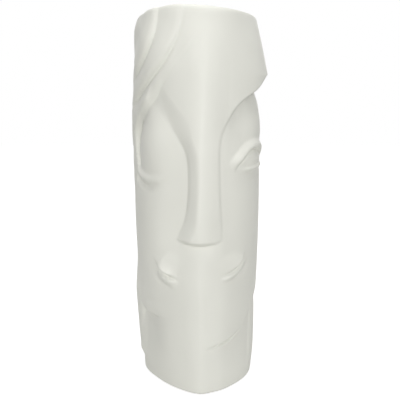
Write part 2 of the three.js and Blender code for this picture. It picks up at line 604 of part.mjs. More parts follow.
function feltPad(index, bearing) {
  const profile = [
    [0, 0],
    [PAD_RADIUS - PAD_BEVEL, 0],
    [PAD_RADIUS, PAD_BEVEL],
    [PAD_RADIUS, PAD_THICKNESS],
    [0, PAD_THICKNESS],
  ].map(([x, y]) => new THREE.Vector2(x, y));
  const felt = new THREE.MeshStandardMaterial({ color: 0x8d8a84, roughness: 0.95, metalness: 0 });
  const pad = named(`felt_pad_${index + 1}`, new THREE.LatheGeometry(profile, PAD_SIDES), felt);
  const reach = Math.min(...PAD_BEARINGS.map(recessRadius)) - PAD_INSET - PAD_RADIUS;
  const angle = THREE.MathUtils.degToRad(bearing);
  pad.rotation.x = Math.PI / 2;
  pad.position.set(reach * Math.sin(angle), -reach * Math.cos(angle), 0);
  return pad;
}

const vase = new THREE.Group();
vase.add(ceramicBody(), glazeLining());
PAD_BEARINGS.forEach((bearing, index) => vase.add(feltPad(index, bearing)));

// The origin is under the middle of the vase's box, on the table
const middle = new THREE.Box3().setFromObject(vase).getCenter(new THREE.Vector3());
vase.position.set(-middle.x, -middle.y, 0);

export default vase;
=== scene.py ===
# %% [markdown]
# # A ceramic vase with a face in relief
# The vase is slip cast: liquid clay is poured into a plaster mould, a shell stiffens on the plaster
# and the rest is poured out. That is why the inside is smooth while the outside carries the drawing.
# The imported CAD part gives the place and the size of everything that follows.

# %% Load the frame
from math import cos, pi, radians, sin, tau

import bpy
import numpy as np
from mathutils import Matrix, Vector, noise


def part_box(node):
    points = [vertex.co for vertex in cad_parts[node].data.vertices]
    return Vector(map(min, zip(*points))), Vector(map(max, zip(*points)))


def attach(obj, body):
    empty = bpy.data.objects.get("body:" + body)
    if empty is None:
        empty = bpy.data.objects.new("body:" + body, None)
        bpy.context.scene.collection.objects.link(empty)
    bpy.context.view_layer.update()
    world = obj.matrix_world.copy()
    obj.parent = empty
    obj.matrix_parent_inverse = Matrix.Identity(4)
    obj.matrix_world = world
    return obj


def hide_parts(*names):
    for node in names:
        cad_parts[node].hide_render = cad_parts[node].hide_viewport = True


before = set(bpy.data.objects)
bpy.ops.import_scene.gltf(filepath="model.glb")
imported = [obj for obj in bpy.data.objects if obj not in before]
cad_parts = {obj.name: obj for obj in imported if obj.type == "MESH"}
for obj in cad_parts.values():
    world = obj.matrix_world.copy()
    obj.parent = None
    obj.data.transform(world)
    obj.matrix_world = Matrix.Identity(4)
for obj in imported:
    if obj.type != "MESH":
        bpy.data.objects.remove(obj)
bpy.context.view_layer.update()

# %% [markdown]
# ## Where the vase stands
# The four felt pads sit evenly round the axis of the pot, so their mean is the axis. The face is
# drawn in bearings: 0 is straight ahead of the face (-Y), and bearings grow to the viewer's right.
# Sizes are in mm. The drawing has a height of its own and is stretched a little to reach the rim.

# %% Axis and sizes
MM = 0.001
PADS = [f"felt_pad_{i}" for i in range(1, 5)]


def middle(node):
    low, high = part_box(node)
    return (low + high) / 2


AXIS = sum((middle(pad) for pad in PADS), Vector()) / len(PADS)
AXIS.z = 0

HEIGHT = 301
DRAWN_HEIGHT = 300
SIDE_RADIUS = 47.5
BELLY = 5.4
WALL = 7
LIP = 2.5
LIP_TALL = 6
FOOT_Z = 0.8
FOOT_ROUND = 1.2
FOOT_WIDTH = 8
RECESS_Z = 3.3
FLOOR_Z = 12.3
FLOOR_FILLET = 8
MM_PER_DEGREE = radians(SIDE_RADIUS + BELLY)
print("axis in mm:", [round(1000 * v, 2) for v in AXIS])

# %% [markdown]
# ## Shapes of a modelled line
# A modeller works clay with a few strokes: a soft swelling, a rounded roll, a step with an eased edge.
# Sculpting them would tie them to one mesh. Here each is a formula, so it can be drawn at any size and
# on any grid. First come the ways to go from nothing to all: eased, nearly straight, or over a range.

# %% Easing
def ease(x):
    x = np.clip(x, 0, 1)
    return x * x * (3 - 2 * x)


def ramp(x):
    return 0.6 * np.clip(x, 0, 1) + 0.4 * ease(x)


def rise(value, start, stop):
    return ease((value - start) / (stop - start))


def mix(a, b, share):
    return a + (b - a) * share


print("a quarter along, eased and ramped:", round(float(ease(0.25)), 3), round(float(ramp(0.25)), 3))

# %% [markdown]
# A profile runs from 1 on the line to 0 at its foot. A soft swelling fades into the wall, a rounded
# roll stands on it, a scoop is a sharp cut that runs out slowly, and a tent is a ridge with its edge
# just broken. A lock of hair is rounded on one side and soft on the other.

# %% Stroke profiles
RIDGE_ROUNDING = 0.12


def inside(x):
    return np.minimum(np.abs(x), 1)


def soft(x):
    return (1 - inside(x) ** 2) ** 2


def rounded(x):
    return 1 - inside(x) ** 2


def firm(x):
    return 0.6 * soft(x) + 0.4 * rounded(x)


def scoop(x):
    return (1 - inside(x)) ** 2


def tent(x):
    return 1 - np.hypot(inside(x), RIDGE_ROUNDING)


def lock(x):
    return np.where(x > 0, rounded(x), soft(x))


def gouge(x):
    return np.where(x > 0, scoop(x), soft(x))


def swell(value, centre, spread):
    return np.exp(-(((value - centre) / spread) ** 2))


print("profiles half way down:", round(float(soft(0.5)), 3), round(float(rounded(0.5)), 3))

# %% [markdown]
# ## Lines on the unrolled wall
# The wall is unrolled to a flat sheet, in mm, and every line of the face is a smooth curve on it. A
# line can say how far a point lies to its left, and how far along it the nearest place is. That is
# all a roll, a groove or a step needs to follow it.

# %% Wall lines
class WallLine:
    STEPS = 5

    def __init__(self, *runs):
        parts = [self.smooth(run)[i > 0:] for i, run in enumerate(runs)]
        self.points = np.vstack(parts)
        self.steps = np.diff(self.points, axis=0)
        self.lengths = np.hypot(*self.steps.T)
        self.starts = np.concatenate([[0], np.cumsum(self.lengths)])
        self.sides = np.stack([-self.steps[:, 1], self.steps[:, 0]], 1) / self.lengths[:, None]

    def smooth(self, run):
        p = np.array(run, float) * (MM_PER_DEGREE, 1)
        p = np.vstack([p[:1], p, p[-1:]])
        a, b, c, d = p[:-3], p[1:-2], p[2:-1], p[3:]
        t = (np.arange(self.STEPS) / self.STEPS)[:, None, None]
        v0, v1 = (c - a) / 2, (d - b) / 2
        curve = (2 * b - 2 * c + v0 + v1) * t**3 + (3 * c - 3 * b - 2 * v0 - v1) * t**2 + v0 * t + b
        return np.vstack([curve.transpose(1, 0, 2).reshape(-1, 2), p[-1:]])

    def locate(self, bearing, z):
        x = bearing * MM_PER_DEGREE
        least = np.full(x.shape, np.inf)
        off, along = np.zeros(x.shape), np.zeros(x.shape)
        last = len(self.steps) - 1
        for i, (p, s, length) in enumerate(zip(self.points, self.steps, self.lengths)):
            dx, dz = x - p[0], z - p[1]
            t = np.clip((dx * s[0] + dz * s[1]) / length**2, 0, 1)
            dx, dz = dx - t * s[0], dz - t * s[1]
            gap = dx * dx + dz * dz
            # At either end of a step its neighbour's side counts too, so a corner has no false seam.
            left = self.sides[i] + np.where((t <= 0)[..., None], self.sides[max(i - 1, 0)], 0)
            left = left + np.where((t >= 1)[..., None], self.sides[min(i + 1, last)], 0)
            side = np.where(dx * left[..., 0] + dz * left[..., 1] < 0, -1, 1)
            near = gap < least
            off = np.where(near, side * np.sqrt(gap), off)
            along = np.where(near, (self.starts[i] + t * length) / self.starts[-1], along)
            least = np.minimum(least, gap)
        return off, along


print("a wall line has", WallLine.STEPS, "steps in each span")

# %% [markdown]
# ## The drawing
# Forehead, brow and nose are one raised plate. On the left its edge is the hairline and then the
# long chamfer beside the nose. On the right it is the step beside the nose, which flares out into the
# brow. Points are a bearing in degrees and a height in mm. The side edges run on below the foot, so
# that the base of the nose alone ends the plate.

# %% Edges of the plate
HAIRLINE = [
    (-160, 60), (-130, 80), (-110, 105), (-96, 130), (-87, 155), (-81.5, 172), (-79, 186),
    (-78, 196), (-76, 208), (-70, 216.5), (-60.5, 222.8), (-49, 228.4), (-38.5, 233.5),
]
NOSE_LEFT = [
    HAIRLINE[-1], (-34.5, 229.5), (-29.5, 224.3), (-24, 217.8), (-18.5, 211), (-13.5, 204),
    (-9.7, 197.5), (-7.8, 190), (-7.1, 180), (-7.2, 168), (-8.3, 155), (-10.3, 144.5),
    (-13.7, 136.5), (-17.5, 129.5),
]
NOSE_BASE = [
    NOSE_LEFT[-1], (-14.5, 127), (-8, 125.3), (0, 124.7), (8, 125), (14, 126.3), (19.2, 128.8),
]
NOSE_RIGHT = [
    NOSE_BASE[-1], (19, 138), (18.3, 150), (17.4, 165), (17, 180), (17, 196), (18, 206),
    (20.8, 213.5), (25.3, 221), (31.3, 228), (39.4, 233.8), (48, 238), (57, 241.8), (66, 244.8),
    (78, 246.8), (100, 247.5), (130, 248.5), (165, 250),
]
BELOW_LEFT, BELOW_RIGHT = (-24, -50), (27, -50)
LEFT_EDGE = WallLine(HAIRLINE, NOSE_LEFT, [NOSE_LEFT[-1], BELOW_LEFT])
BASE_EDGE = WallLine([BELOW_LEFT, NOSE_BASE[0]], NOSE_BASE, [NOSE_BASE[-1], BELOW_RIGHT])
RIGHT_EDGE = WallLine([BELOW_RIGHT, NOSE_RIGHT[0]], NOSE_RIGHT)
print("plate edges:", [len(edge.points) for edge in (LEFT_EDGE, BASE_EDGE, RIGHT_EDGE)], "points")

# %% [markdown]
# ## The raised plate
# The plate rises over a chamfer, which is wide and gentle where light slides off it, left of the nose
# and under the outer brow, and steep where the step throws a hard line. Here b is a bearing and z a
# height, and rise(b, 50, 76) goes from nothing at bearing 50 to all at bearing 76.

# %% Chamfers of the plate
HAIR_CHAMFER, SIDE_HAIR_CHAMFER = 5, 10
NOSE_CHAMFER, BROW_CHAMFER, NOSTRIL_CHAMFER = 8, 14, 10.5
BROW_STEP, NOSE_STEP, OUTER_BROW_STEP = 1.8, 2.2, 8.3
BASE_CHAMFER, BASE_LEFT_CHAMFER, BASE_RIGHT_CHAMFER = 4, 6, 2.6


def left_chamfer(b, z):
    hair = mix(HAIR_CHAMFER, SIDE_HAIR_CHAMFER, rise(b, -46, -68))
    nose = mix(NOSE_CHAMFER, BROW_CHAMFER, rise(z, 200, 222))
    nose = mix(nose, NOSTRIL_CHAMFER, rise(z, 160, 130))
    return mix(hair, nose, rise(b, -44, -35))


def right_chamfer(b, z):
    outer_brow = rise(b, 50, 76) * rise(z, 215, 230)
    step = mix(BROW_STEP, NOSE_STEP, rise(z, 205, 185))
    return mix(step, OUTER_BROW_STEP, outer_brow)


def base_chamfer(b):
    left = mix(BASE_CHAMFER, BASE_LEFT_CHAMFER, rise(b, -5, -13))
    return mix(left, BASE_RIGHT_CHAMFER, rise(b, 6, 15))


def on_plate(b, z, left, right, base):
    flanks = [
        ramp(left / left_chamfer(b, z)),
        np.clip(right / right_chamfer(b, z), 0, 1),
        ramp(base / base_chamfer(b)),
    ]
    return np.minimum.reduce(flanks)


widths = [round(float(left_chamfer(-20, z)), 1) for z in (222, 180)]
print("chamfer left of the nose, at the brow and half way down:", widths, "mm")

# %% [markdown]
# The plate is thin at the hair, fuller along the nose and thickest at the outer brow on the right. The
# nose swells a little towards its middle and drops back at the tip. Near the rim the plate sinks back
# into the wall, so that the rim itself is plain.

# %% Height of the plate
FOREHEAD_LEVEL, NOSE_LEVEL, BROW_LEVEL = 2, 3.3, 9
SIDE_HAIR_SHARE = 0.15
NOSE_SWELL, TIP_DROP = 0.6, 0.9


def plate_level(b, z):
    level = mix(FOREHEAD_LEVEL, NOSE_LEVEL, rise(b, -38, -14))
    level = mix(level, BROW_LEVEL, rise(b, 15, 70))
    side_hair = mix(SIDE_HAIR_SHARE, 1, rise(z, 140, 215))
    tip = NOSE_SWELL * rise(z, 215, 150) - TIP_DROP * rise(z, 150, 124)
    return level * mix(1, side_hair, rise(b, -42, -54)) + tip * rise(b, -30, -10) * rise(z, 232, 212)


def below_rim(b, z):
    left = rise(z, 303, mix(289, 253, rise(b, -70, -10)))
    right = mix(rise(z, 302, 242), np.clip((302 - z) / 48, 0, 1), rise(b, 25, 70))
    return mix(left, right, rise(b, -20, 20))


print("plate level at the nose:", round(float(plate_level(0, 180)), 2), "mm")

# %% [markdown]
# A ridge runs from the forehead down the nose, and right of it the plate falls away, so that each side
# of the nose is a plane of its own. Below the nose a lower keel carries the ridge on to the foot.

# %% Ridge of the nose and keel
CREST_EDGE = WallLine([(5.5, 299), (5, 270), (4, 240), (2.5, 210), (1.2, 180), (0.8, 150), (0.8, 126)])
KEEL_EDGE = WallLine([(-0.5, 122), (1, 80), (2, 40), (2.5, -10)])
CREST_HEIGHT, CREST_RIGHT, CREST_LEFT, CREST_LEFT_BROW = 2.6, 18, 15, 29
CREST_GROWTH, CREST_MARGIN = 0.4, 2
RIGHT_FALL, RIGHT_FALL_BROW, RIGHT_FALL_WIDTH = 2.4, 1.2, 15
KEEL_HEIGHT, KEEL_RIGHT, KEEL_LEFT = 0.8, 8, 13
KEEL_FALL, KEEL_FALL_WIDTH, KEEL_GROWTH = 1.3, 12, 0.2


def crest_and_fall(b, z):
    off, along = CREST_EDGE.locate(b, z)
    grown = ease(along / CREST_GROWTH)
    width = np.where(off > 0, CREST_RIGHT, mix(CREST_LEFT, CREST_LEFT_BROW, rise(z, 200, 235)))
    fall = mix(RIGHT_FALL, RIGHT_FALL_BROW, rise(z, 205, 232)) * ramp(off / RIGHT_FALL_WIDTH)
    return CREST_HEIGHT * tent(off / width) * grown, fall * grown


def keel_relief(b, z):
    off, along = KEEL_EDGE.locate(b, z)
    ridge = KEEL_HEIGHT * tent(off / np.where(off > 0, KEEL_RIGHT, KEEL_LEFT))
    fall = KEEL_FALL * ramp(off / KEEL_FALL_WIDTH) * rise(b, 64, 28)
    return (ridge - fall) * ease(along / KEEL_GROWTH)


print("ridge and keel have", len(CREST_EDGE.points), "and", len(KEEL_EDGE.points), "points")

# %% [markdown]
# Beside the plate the wall gives way. Left of the nose the chamfer is cut down into the cheek. On the
# right a thin fillet stands at the foot of the step, and the socket under the brow gets deeper
# outwards. Clay that is pushed back in this way makes the plate look thicker than it is.

# %% Relief of the plate
CHEEK_CUT, CHEEK_CUT_AT_BROW, CHEEK_CUT_REACH = 2, 1.1, 30
STEP_FILLET, STEP_FILLET_WIDTH = 0.6, 9
INNER_SOCKET, MIDDLE_SOCKET, OUTER_SOCKET, SOCKET_WIDTH = 1.4, 2.2, 3, 24


def cheek_cut(b, z):
    depth = mix(CHEEK_CUT, CHEEK_CUT_AT_BROW, rise(z, 180, 205))
    return depth * rise(z, 108, 138) * rise(b, -44, -18) * rise(b, 14, 8)


def beside_step(b, z, distance):
    fillet = STEP_FILLET * scoop(distance / STEP_FILLET_WIDTH) * rise(b, 12, 17) * rise(z, 112, 135)
    inner, outer = INNER_SOCKET * rise(b, 22, 34), OUTER_SOCKET * rise(b, 66, 84)
    depth = inner + MIDDLE_SOCKET * rise(b, 44, 58) + outer
    return fillet - depth * scoop(distance / SOCKET_WIDTH) * rise(z, 196, 216)


def plate_relief(b, z):
    left, right, base = (edge.locate(b, z)[0] for edge in (LEFT_EDGE, RIGHT_EDGE, BASE_EDGE))
    share = on_plate(b, z, left, right, base)
    crest, fall = crest_and_fall(b, z)
    crest = crest * ease(np.minimum.reduce([left, right, base]) / CREST_MARGIN)
    cut = cheek_cut(b, z)
    step = ((plate_level(b, z) - fall) * below_rim(b, z) + cut) * share
    cheek = cut * (1 - ramp(np.maximum(-np.minimum(left, right), 0) / CHEEK_CUT_REACH))
    beside = beside_step(b, z, np.maximum(-right, 0)) * (1 - share)
    return (step - cheek + beside + crest + keel_relief(b, z)) * rise(np.abs(b), 165, 115)


bearings, heights = np.meshgrid(np.linspace(-60, 60, 13), np.linspace(130, 250, 13))
print("plate stands out by up to", round(float(plate_relief(bearings, heights).max()), 1), "mm")

# %% [markdown]
# ## Rolls and grooves
# Locks of hair, lids, lips and folds are rolls or grooves that follow a line. The left jaw is drawn
# once here and serves again for the neck below it.

# %% Lines of the face
JAW_LEFT_RUN = [(-12, 68), (-22, 65), (-32, 62.8), (-42, 61.4), (-53, 60.2), (-62, 59.6), (-69, 61)]
DRAWING = {
    "lock_a": [
        (-37, 306), (-37.5, 292), (-40, 282), (-46.5, 272), (-56, 264.5), (-70, 257.5),
        (-88, 253), (-130, 253),
    ],
    "lock_b": [
        (-14.5, 306), (-16, 292), (-19, 281), (-24.5, 270.5), (-32.5, 261), (-45, 251.5),
        (-57, 245), (-72, 238.5), (-90, 235), (-130, 235),
    ],
    "lock_c": [
        (4, 288), (-5.5, 277.3), (-11, 269.5), (-20, 259.5), (-30, 250), (-38, 240.5), (-47, 233),
        (-56.5, 226), (-66, 219.5), (-74, 212), (-79, 203), (-81, 190), (-84, 174),
    ],
    "closed_lid": [
        (-42, 229.5), (-50, 225.8), (-59.5, 220.8), (-67.5, 215), (-73, 209.5), (-75, 203), (-75, 195),
        (-71.5, 189), (-66.5, 184), (-60, 179.5), (-52, 177),
    ],
    "closed_lower_lid": [
        (-74, 192), (-69.5, 183.5), (-61.5, 177.5), (-51, 174.6), (-40, 174), (-22, 177),
    ],
    "closed_pouch": [(-72, 179), (-64, 172.4), (-54, 168.8), (-43, 168.6), (-28, 172)],
    "open_lid": [
        (28.5, 180.3), (37.5, 188.2), (44.5, 193.8), (51.5, 196.8), (59, 196.8), (67, 193.8),
        (76, 188.3), (90, 181),
    ],
    "open_lower_lid": [(34, 181.5), (41, 182.6), (50, 182.6), (60, 183.6), (70, 186), (85, 190)],
    "open_pouch": [(38, 179.5), (50, 177.8), (60, 178.6), (72, 181.5), (85, 185)],
    "mouth_left": [(-41.5, 112), (-38.5, 107), (-33.5, 103.2), (-28.3, 100.3), (-22, 98), (-14, 95.8)],
    "mouth_right": [(17, 99.3), (23.5, 100.8), (30, 102.8), (36, 105.4), (41, 110), (45, 117.5)],
    "jaw_left": JAW_LEFT_RUN,
}
LINES = {name: WallLine(run) for name, run in DRAWING.items()}
print(len(LINES), "lines on the face")

# %% [markdown]
# Each row gives the height of a stroke and its width to the left and to the right of its crest, in mm.
# Then come its profile, how far its crest lies beside the line, and the shares of the line where it
# begins and ends and over which it grows and dies. Two strokes on one line make a fuller lock, and a
# negative height cuts a groove.

# %% Strokes along the lines
def stroke(line, height, left, right, shape=soft, at=0, begin=0, grow=0, end=1, die=0):
    def relief(where):
        off, along = where[line]
        x = off - at
        start = ease((along - begin) / grow) if grow else 1
        stop = ease((end - along) / die) if die else 1
        return height * shape(x / np.where(x > 0, left, right)) * start * stop

    return relief


STROKES = [
    stroke("lock_a", 2.4, 4.6, 20, lock, begin=-0.3, grow=0.5, end=0.62, die=0.2),
    stroke("lock_a", 1.5, 5.6, 20, lock, begin=0.1, grow=0.2, end=0.62, die=0.2),
    stroke("lock_a", -0.9, 2.4, 1.6, at=5, begin=0.1, grow=0.25, end=0.7, die=0.3),
    stroke("lock_b", 1.8, 4.8, 17, lock, end=0.72, die=0.2),
    stroke("lock_b", 2.2, 4.8, 17, lock, begin=0.1, grow=0.3, end=0.72, die=0.2),
    stroke("lock_b", -0.9, 2.4, 1.6, at=5, begin=0.05, grow=0.25, end=0.8, die=0.2),
    stroke("lock_c", 0.7, 3.8, 12, lock, grow=0.12, end=0.9, die=0.3),
    stroke("lock_c", 2.6, 5.2, 14, lock, begin=0.2, grow=0.3, end=0.79, die=0.17),
    stroke("closed_lid", -2.6, 6, 3.6, gouge, grow=0.42, die=0.4),
    stroke("closed_lid", -2.4, 20, 3.6, gouge, grow=0.42, die=0.4),
    stroke("closed_lower_lid", 1.8, 4.8, 3.6, begin=0.1, grow=0.25, die=0.5),
    stroke("closed_pouch", -2.2, 3, 5.5, grow=0.15, die=0.55),
    stroke("open_lid", 3.4, 6, 3, firm, at=3, grow=0.18, end=0.84, die=0.28),
    stroke("open_lid", -0.8, 1.4, 2, at=-0.3, grow=0.12, die=0.2),
    stroke("open_lid", -1.8, 1.6, 5, at=-1.6, begin=0.55, grow=0.2, die=0.15),
    stroke("open_lower_lid", 2.8, 2.3, 3.4, grow=0.25, end=0.78, die=0.25),
    stroke("open_pouch", -0.9, 3, 5, grow=0.4, die=0.1),
    stroke("mouth_left", 2, 20, 2.4, gouge, at=2, grow=0.4, die=0.5),
    stroke("mouth_left", 2.5, 9, 2.4, gouge, at=2, begin=0.2, grow=0.3, end=0.92, die=0.35),
    stroke("mouth_left", 2.7, 2.8, 6.5, at=-3.4, begin=0.3, grow=0.3, die=0.3),
    stroke("mouth_left", -0.4, 3, 5, at=-8.5, begin=0.2, grow=0.2, end=0.9, die=0.4),
    stroke("mouth_right", 2.7, 15, 2.4, gouge, at=2, grow=0.5, die=0.35),
    stroke("mouth_right", 2.3, 2.6, 4, at=-3, grow=0.25, end=0.8, die=0.35),
    stroke("mouth_right", -0.4, 3, 5, at=-7.6, begin=0.2, grow=0.3, die=0.3),
    stroke("jaw_left", 0.6, 4.5, 8, at=-4.5, grow=0.6, die=0.2),
]
print(len(STROKES), "strokes")

# %% [markdown]
# Under the strokes lie broad oval swellings, as a modeller lays on pads of clay before drawing in them.
# A row gives the bearing and height of the middle, the half width, the half height and how far it
# stands out, all in mm but the bearing, and a turn in degrees where it leans.

# %% Ovals
def oval(bearing, middle_z, across, tall, height, turn=0):
    def relief(b, z):
        x, y = (b - bearing) * MM_PER_DEGREE, z - middle_z
        c, s = cos(radians(turn)), sin(radians(turn))
        return height * soft(np.hypot((c * x + s * y) / across, (c * y - s * x) / tall))

    return relief


CLOSED_EYE = oval(-36, 205, 29, 40, 5)
OPEN_EYE = oval(57, 190, 20, 8, 2.5)
UNDER_BROW = oval(60, 214, 24, 24, 2.9)
FOREHEAD_BY_THE_LOCKS = oval(-36, 252, 28, 42, 2.6)
CHEEKS = [oval(50, 160, 28, 80, 2), oval(-46, 145, 32, 105, 3)]
UPPER_LIPS = [oval(-27, 108, 16, 12, 0.8), oval(28, 110, 14, 10, 0.6, turn=20)]
SIDE_HAIR = [
    oval(-90, 150, 30, 70, 1),
    oval(-90, 211, 20, 18, 1),
    oval(-90, 230, 18, 20, 1.4),
    oval(-90, 253, 20, 16, 1),
    oval(-92, 289, 20, 24, 1.1),
]
OVALS = [CLOSED_EYE, OPEN_EYE, UNDER_BROW, FOREHEAD_BY_THE_LOCKS, *CHEEKS, *UPPER_LIPS, *SIDE_HAIR]
print(len(OVALS), "ovals")

# %% [markdown]
# ## Neck
# Below each jaw the wall steps back. On the right a fold marks the jaw, and a strip of hair comes down
# behind the neck. On the left a rounded lobe of hair ends just above the foot.

# %% Right side of the neck
JAW_RIGHT = WallLine([
    (4, 40.8), (16, 42.7), (26, 44.7), (36, 47.5), (46, 52), (54, 58), (62, 65.5), (70, 72),
    (82, 79), (100, 88),
])
NAPE_RIGHT = WallLine([(66, 80), (64, 62), (63, 42), (61, 20), (59, -10)])
RIGHT_RECESS, RECESS_REACH = 2.6, 55
JAW_STEP, JAW_STEP_BEHIND = 2.2, 6
FOLD_DEPTH, FOLD_BELOW, FOLD_WIDTH = 2.6, 1.8, 3
NAPE_STRIP = 1.1


def right_neck_relief(b, z):
    off, along = JAW_RIGHT.locate(b, z)
    below = np.maximum(-off, 0)
    step = ramp(below / mix(JAW_STEP, JAW_STEP_BEHIND, rise(b, 62, 78)))
    recess = step * (1 - ease(below / RECESS_REACH)) * rise(along, 0, 0.25) * rise(b, 130, 100)
    fold = soft((off + FOLD_BELOW) / np.where(off > -FOLD_BELOW, FOLD_BELOW, FOLD_WIDTH))
    fold = fold * rise(along, 0, 0.2) * rise(b, 72, 58)
    strip = rise(NAPE_RIGHT.locate(b, z)[0], -1, 4) * rise(z, 74, 59) * rise(b, 110, 90) * rise(z, 0, 24)
    return NAPE_STRIP * strip - RIGHT_RECESS * recess - FOLD_DEPTH * fold


below_jaw = right_neck_relief(np.array([45.0]), np.array([40.0]))
print("neck steps back by", round(float(-below_jaw[0]), 2), "mm")

# %% [markdown]
# The left side is the same idea without the fold: the step is soft in front, deepest beside the nape
# and long behind it, where it runs out under the hair.

# %% Left side of the neck
JAW_LEFT = WallLine(JAW_LEFT_RUN, [JAW_LEFT_RUN[-1], (-76, 68), (-90, 80), (-120, 92)])
NAPE_LEFT = WallLine([
    (-72, 95), (-76, 78), (-78, 62), (-79, 48), (-80, 34), (-82, 25), (-86, 18), (-92, 13),
    (-110, 10), (-150, 8),
])
LEFT_RECESS, FOOT_SHARE = 4.6, 0.15
JAW_SLOPE, JAW_SLOPE_BEHIND = 3, 23
HAIR_LOBE = 3.7


def left_neck_relief(b, z):
    jaw, nape = JAW_LEFT.locate(b, z)[0], NAPE_LEFT.locate(b, z)[0]
    step = ramp(jaw / mix(JAW_SLOPE, JAW_SLOPE_BEHIND, rise(b, -72, -84)))
    recess = step * rise(nape, -15, 1) * rise(b, -26, -64) * mix(FOOT_SHARE, 1, rise(z, 4, 58))
    lobe = rise(b, -70, -88) * rise(z, 110, 62) * rise(z, 9, 18)
    return (HAIR_LOBE * lobe - LEFT_RECESS * recess) * rise(b, -150, -110)


beside_nape = left_neck_relief(np.array([-66.0]), np.array([40.0]))
print("left of the neck the wall steps back by", round(float(-beside_nape[0]), 2), "mm")

# %% [markdown]
# ## Back of the head
# The photograph never shows the back. The locks that leave the picture on the left are carried on
# here as rolls that sweep round the head and down to the strip of hair on the right of the neck. In
# clay each would be pulled with a loop tool: a slow rise, then a quick fall into the next crease.

# %% Relief of the back hair
ROLL_PITCH = 18
ROLL_CREST = 158
ROLL_HEIGHT = 1.5
ROLL_RISE = 0.76
SWEEP_BEARING, SWEEP_Z = 275, 80


def back_relief(b, z):
    behind = np.where(b < 0, b + 360, b)
    across = (SWEEP_BEARING - behind) * MM_PER_DEGREE
    reach = np.hypot(np.maximum(across, 0), np.maximum(z - SWEEP_Z, 0))
    phase = ((reach - ROLL_CREST) / ROLL_PITCH) % 1
    roll = np.where(phase < ROLL_RISE, soft(phase / ROLL_RISE), rounded((1 - phase) / (1 - ROLL_RISE)))
    round_back = rise(behind, 274, 250) * rise(behind, 104, 130)
    return ROLL_HEIGHT * roll * round_back * rise(z, 298, 276) * rise(z, 4, 26)


print("back rolls are", ROLL_PITCH, "mm apart")

# %% [markdown]
# ## Section of the pot
# In plan the pot is a circle that swells into a prow under the nose and is a little flat on the left
# cheek. In profile it has a slight belly, a foot that spreads a little at both sides, and a rim that
# the hair pushes out and lifts on the left.

# %% Smooth wall
PROW, PROW_BEARING, PROW_LEFT, PROW_RIGHT = 8, 9, 26, 30
CHEEK_FLAT = 2.3
HAIR_FLARE = 6
FOOT_FLARE_RIGHT, FOOT_FLARE_LEFT = 1.5, 1.2
RIM_LIFT, LIFT_BEARING, LIFT_SPREAD = 1.7, -18, 40
FLARE_Z = 240


def plan_radius(b):
    prow = PROW * swell(b, PROW_BEARING, np.where(b < PROW_BEARING, PROW_LEFT, PROW_RIGHT))
    return SIDE_RADIUS + prow - CHEEK_FLAT * swell(b, -52, 25)


def drawn_z(z):
    return z * DRAWN_HEIGHT / HEIGHT


def smooth_radius(b, z):
    hair = HAIR_FLARE * swell(b, -38, 32) * rise(drawn_z(z), FLARE_Z, DRAWN_HEIGHT)
    foot = FOOT_FLARE_RIGHT * swell(b, 52, 28) + FOOT_FLARE_LEFT * swell(b, -78, 25)
    belly = BELLY * 4 * z * (HEIGHT - z) / HEIGHT**2
    return plan_radius(b) + belly + hair + foot * rise(z, 30, 0)


def rim_lift(b, z):
    lifted = soft((b - LIFT_BEARING) / LIFT_SPREAD)
    return RIM_LIFT * lifted * rise(drawn_z(z), FLARE_Z, DRAWN_HEIGHT)


print("radius at the rim, front and side:", [round(float(plan_radius(np.array(b))), 1) for b in (0, 90)])

# %% [markdown]
# The outer wall is the smooth wall with all the relief added to its radius. The inner wall follows the
# smooth wall alone, one wall thickness in, as slip casting leaves it nearly.

# %% Outer and inner wall
def outer_radius(b, z):
    drawn = drawn_z(z)
    where = {name: line.locate(b, drawn) for name, line in LINES.items()}
    strokes = sum(relief(where) for relief in STROKES)
    ovals = sum(relief(b, drawn) for relief in OVALS)
    necks = right_neck_relief(b, drawn) + left_neck_relief(b, drawn)
    return smooth_radius(b, z) + plate_relief(b, drawn) + strokes + ovals + necks + back_relief(b, drawn)


def inner_radius(b, z):
    return smooth_radius(b, z) - WALL


nose_tip = np.array([0.0]), np.array([130.0])
clay = outer_radius(*nose_tip) - inner_radius(*nose_tip)
print("clay at the tip of the nose:", round(float(clay[0]), 1), "mm")

# %% [markdown]
# ## Colours and shader nodes
# Colours are picked as sRGB hex and turned to linear light once. One small function adds a shader
# node, sets its sockets and links what feeds it. Pattern sizes are real sizes in mm, and the scale of
# a pattern is how many of them go into a metre.

# %% Colour and node helpers
def linear(hex_colour):
    parts = [int(hex_colour[i:i + 2], 16) / 255 for i in (1, 3, 5)]
    return [p / 12.92 if p <= 0.04045 else ((p + 0.055) / 1.055) ** 2.4 for p in parts] + [1]


def per_mm(size):
    return 1 / (size * MM)


def add(tree, kind, links=None, sockets=None, **settings):
    node = tree.nodes.new(kind)
    for name, value in settings.items():
        setattr(node, name, value)
    for name, value in (sockets or {}).items():
        node.inputs[name].default_value = value
    for name, source in (links or {}).items():
        tree.links.new(source, node.inputs[name])
    return node


def new_material(name):
    material = bpy.data.materials.new(name)
    material.use_nodes = True
    tree = material.node_tree
    return material, tree, tree.nodes["Principled BSDF"]


print("white clay in linear light:", [round(v, 3) for v in linear("#EAEAE2")[:3]])

# %% [markdown]
# ## Matt fired ceramic
# The outside is bare fired clay, rubbed smooth. It has no gloss, only a soft sheen, a very fine grain
# and a tone that drifts a little where the kiln was hotter. The foot ring was ground flat, so it is
# a shade greyer. The real grain is about 0.1 mm, and it is drawn coarser so that it shows at all.

# %% Ceramic material
KILN_DRIFT_MM = 60
CLAY_GRAIN_MM, GRAIN_DEPTH_MM = 0.7, 0.06
GROUND_FROM_MM, GROUND_TO_MM = 1.2, 2.2


